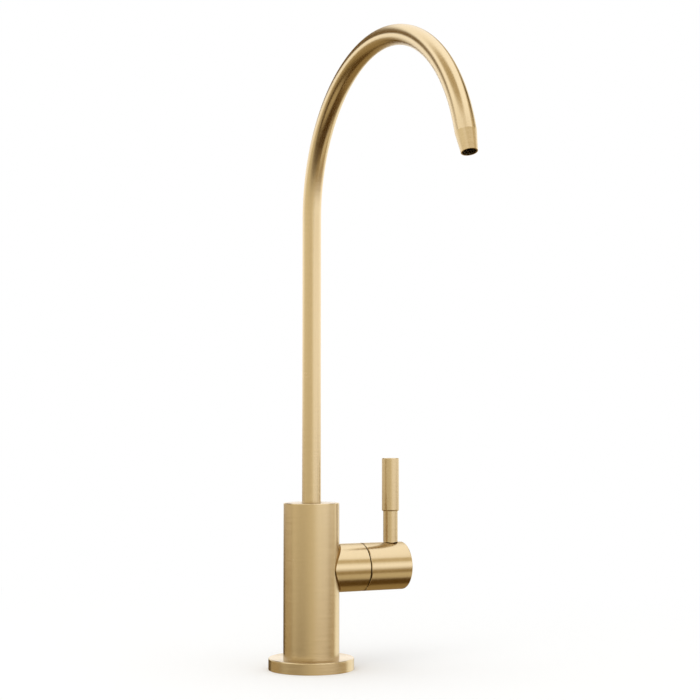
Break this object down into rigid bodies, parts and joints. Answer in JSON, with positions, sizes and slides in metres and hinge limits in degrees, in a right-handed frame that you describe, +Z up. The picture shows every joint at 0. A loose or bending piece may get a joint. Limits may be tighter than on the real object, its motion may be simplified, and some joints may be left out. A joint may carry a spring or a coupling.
{
  "type": "drinking water faucet",
  "caption": "Deck-mounted drinking water faucet with a thin swivelling gooseneck spout, an upright round body and a quarter-turn lever valve in a side barrel.",
  "frame": {"origin": "on the body's axis, at the underside of the base flange, where it meets the deck", "axes": "+Z up along the body, -Y forward towards the spout's mouth at rest, +X towards the valve barrel"},
  "size_m": [0.073, 0.1771, 0.3826],
  "materials": {
    "satin_gold": "brushed, satin",
    "plain_brass": "machined",
    "zinc_steel": "zinc plated",
    "spring_steel": "plain",
    "black_rubber": "matte",
    "white_acetal": "moulded",
    "grey_acetal": "moulded",
    "dark_plastic": "moulded",
    "slippery_plastic": "smooth",
    "white_ceramic": "lapped"
  },
  "bodies": {
    "body": {"base_flange": "satin_gold", "base_gasket": "black_rubber", "faucet_body": "satin_gold", "threaded_shank": "plain_brass", "deck_washer": "black_rubber", "clamp_washer": "zinc_steel", "lock_washer": "zinc_steel", "mounting_nut": "plain_brass", "inlet_connector": "white_acetal", "inlet_washer": "black_rubber", "inlet_o_ring": "black_rubber", "valve_collar": "satin_gold", "cartridge_body": "plain_brass", "cartridge_o_ring": "black_rubber", "seat_seal": "black_rubber", "fixed_disc": "white_ceramic", "spindle_washer": "slippery_plastic", "spout_washer": "slippery_plastic", "spout_snap_ring": "spring_steel"},
    "spout": {"spout_tube": "satin_gold", "spout_nozzle": "satin_gold", "outlet_insert": "dark_plastic", "swivel_insert": "plain_brass", "spout_o_rings": "black_rubber"},
    "handle": {"handle_hub": "satin_gold", "lever_stem": "satin_gold", "lever_grip": "satin_gold", "hub_set_screw": "spring_steel", "cartridge_spindle": "plain_brass", "spindle_o_rings": "black_rubber", "moving_disc": "white_ceramic", "stop_clip": "spring_steel"},
    "collet": {"inlet_collet": "grey_acetal"}
  },
  "joints": [
    {"name": "spout_swivel", "type": "hinge", "parent": "body", "child": "spout", "pos_m": [0, 0, 0], "axis": [0, 0, 1], "continuous": true},
    {"name": "handle_turn", "type": "hinge", "parent": "body", "child": "handle", "pos_m": [0, 0, 0.0495], "axis": [1, 0, 0], "range_deg": [0, 90]},
    {"name": "collet_release", "type": "slide", "parent": "body", "child": "collet", "axis": [0, 0, 1], "range_m": [0, 0.0013]}
  ]
}
